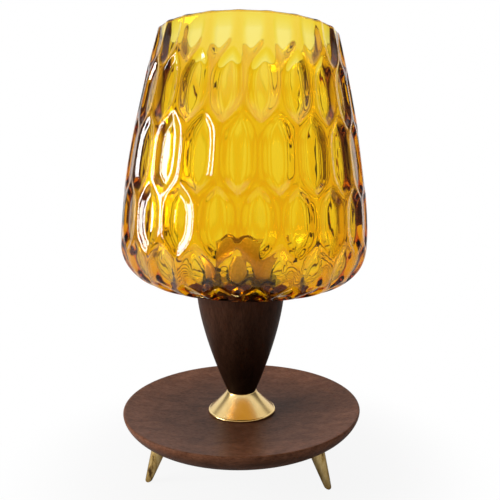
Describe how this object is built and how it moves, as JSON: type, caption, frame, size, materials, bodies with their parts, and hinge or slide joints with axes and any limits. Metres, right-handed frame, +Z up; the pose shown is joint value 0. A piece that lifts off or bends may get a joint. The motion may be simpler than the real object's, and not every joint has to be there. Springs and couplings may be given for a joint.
{
  "type": "glass table lamp",
  "caption": "Table lamp with an open amber honeycomb glass shade on a turned wood stem, brass ferrule and footed wooden plate, with a switched screw lampholder.",
  "frame": {"origin": "on the table, under the axis of the stem and plate", "axes": "+Z up along the stem, front faces -Y, +X to the right of a viewer in front"},
  "size_m": [0.1885, 0.1856, 0.3319],
  "materials": {
    "amber_glass": "clear amber, blown, honeycomb relief",
    "dark_wood": "dark stained, satin",
    "satin_brass": "spun, satin",
    "polished_brass": "polished, light patina",
    "steel": "zinc plated",
    "black_plastic": "moulded",
    "brown_bakelite": "moulded, dark brown",
    "white_ceramic": "glazed",
    "felt": "pressed felt",
    "rubber": "matte"
  },
  "bodies": {
    "lamp": {"base_plate": "dark_wood", "foot_front_left": "polished_brass", "foot_front_right": "polished_brass", "foot_rear": "polished_brass", "foot_studs": "steel", "foot_inserts": "satin_brass", "brass_ferrule": "satin_brass", "wood_stem": "dark_wood", "threaded_pipe": "steel", "base_nut": "steel", "base_washer": "steel", "cord_bush": "black_plastic", "lower_gasket": "felt", "glass_shade": "amber_glass", "upper_gasket": "rubber", "holder_cap": "satin_brass", "grub_screw": "steel", "holder_skirt": "satin_brass", "switch_block": "brown_bakelite", "terminal_screws": "satin_brass", "contact_block": "white_ceramic", "contact_spring": "steel", "screw_shell": "satin_brass"},
    "switch": {"switch_bar": "black_plastic", "switch_buttons": "black_plastic"},
    "contact": {"centre_contact": "satin_brass"},
    "ring": {"shade_ring": "brown_bakelite"}
  },
  "joints": [
    {"name": "switch_push", "type": "slide", "parent": "lamp", "child": "switch", "axis": [1, 0, 0], "range_m": [0, 0.005]},
    {"name": "contact_press", "type": "slide", "parent": "lamp", "child": "contact", "axis": [0, 0, -1], "range_m": [0, 0.002], "stiffness_N_per_m": 1500, "deforming": ["contact_spring"]},
    {"name": "ring_turn", "type": "hinge", "parent": "lamp", "child": "ring", "pos_m": [0, 0, 0.1469], "axis": [0, 0, 1], "continuous": true}
  ]
}
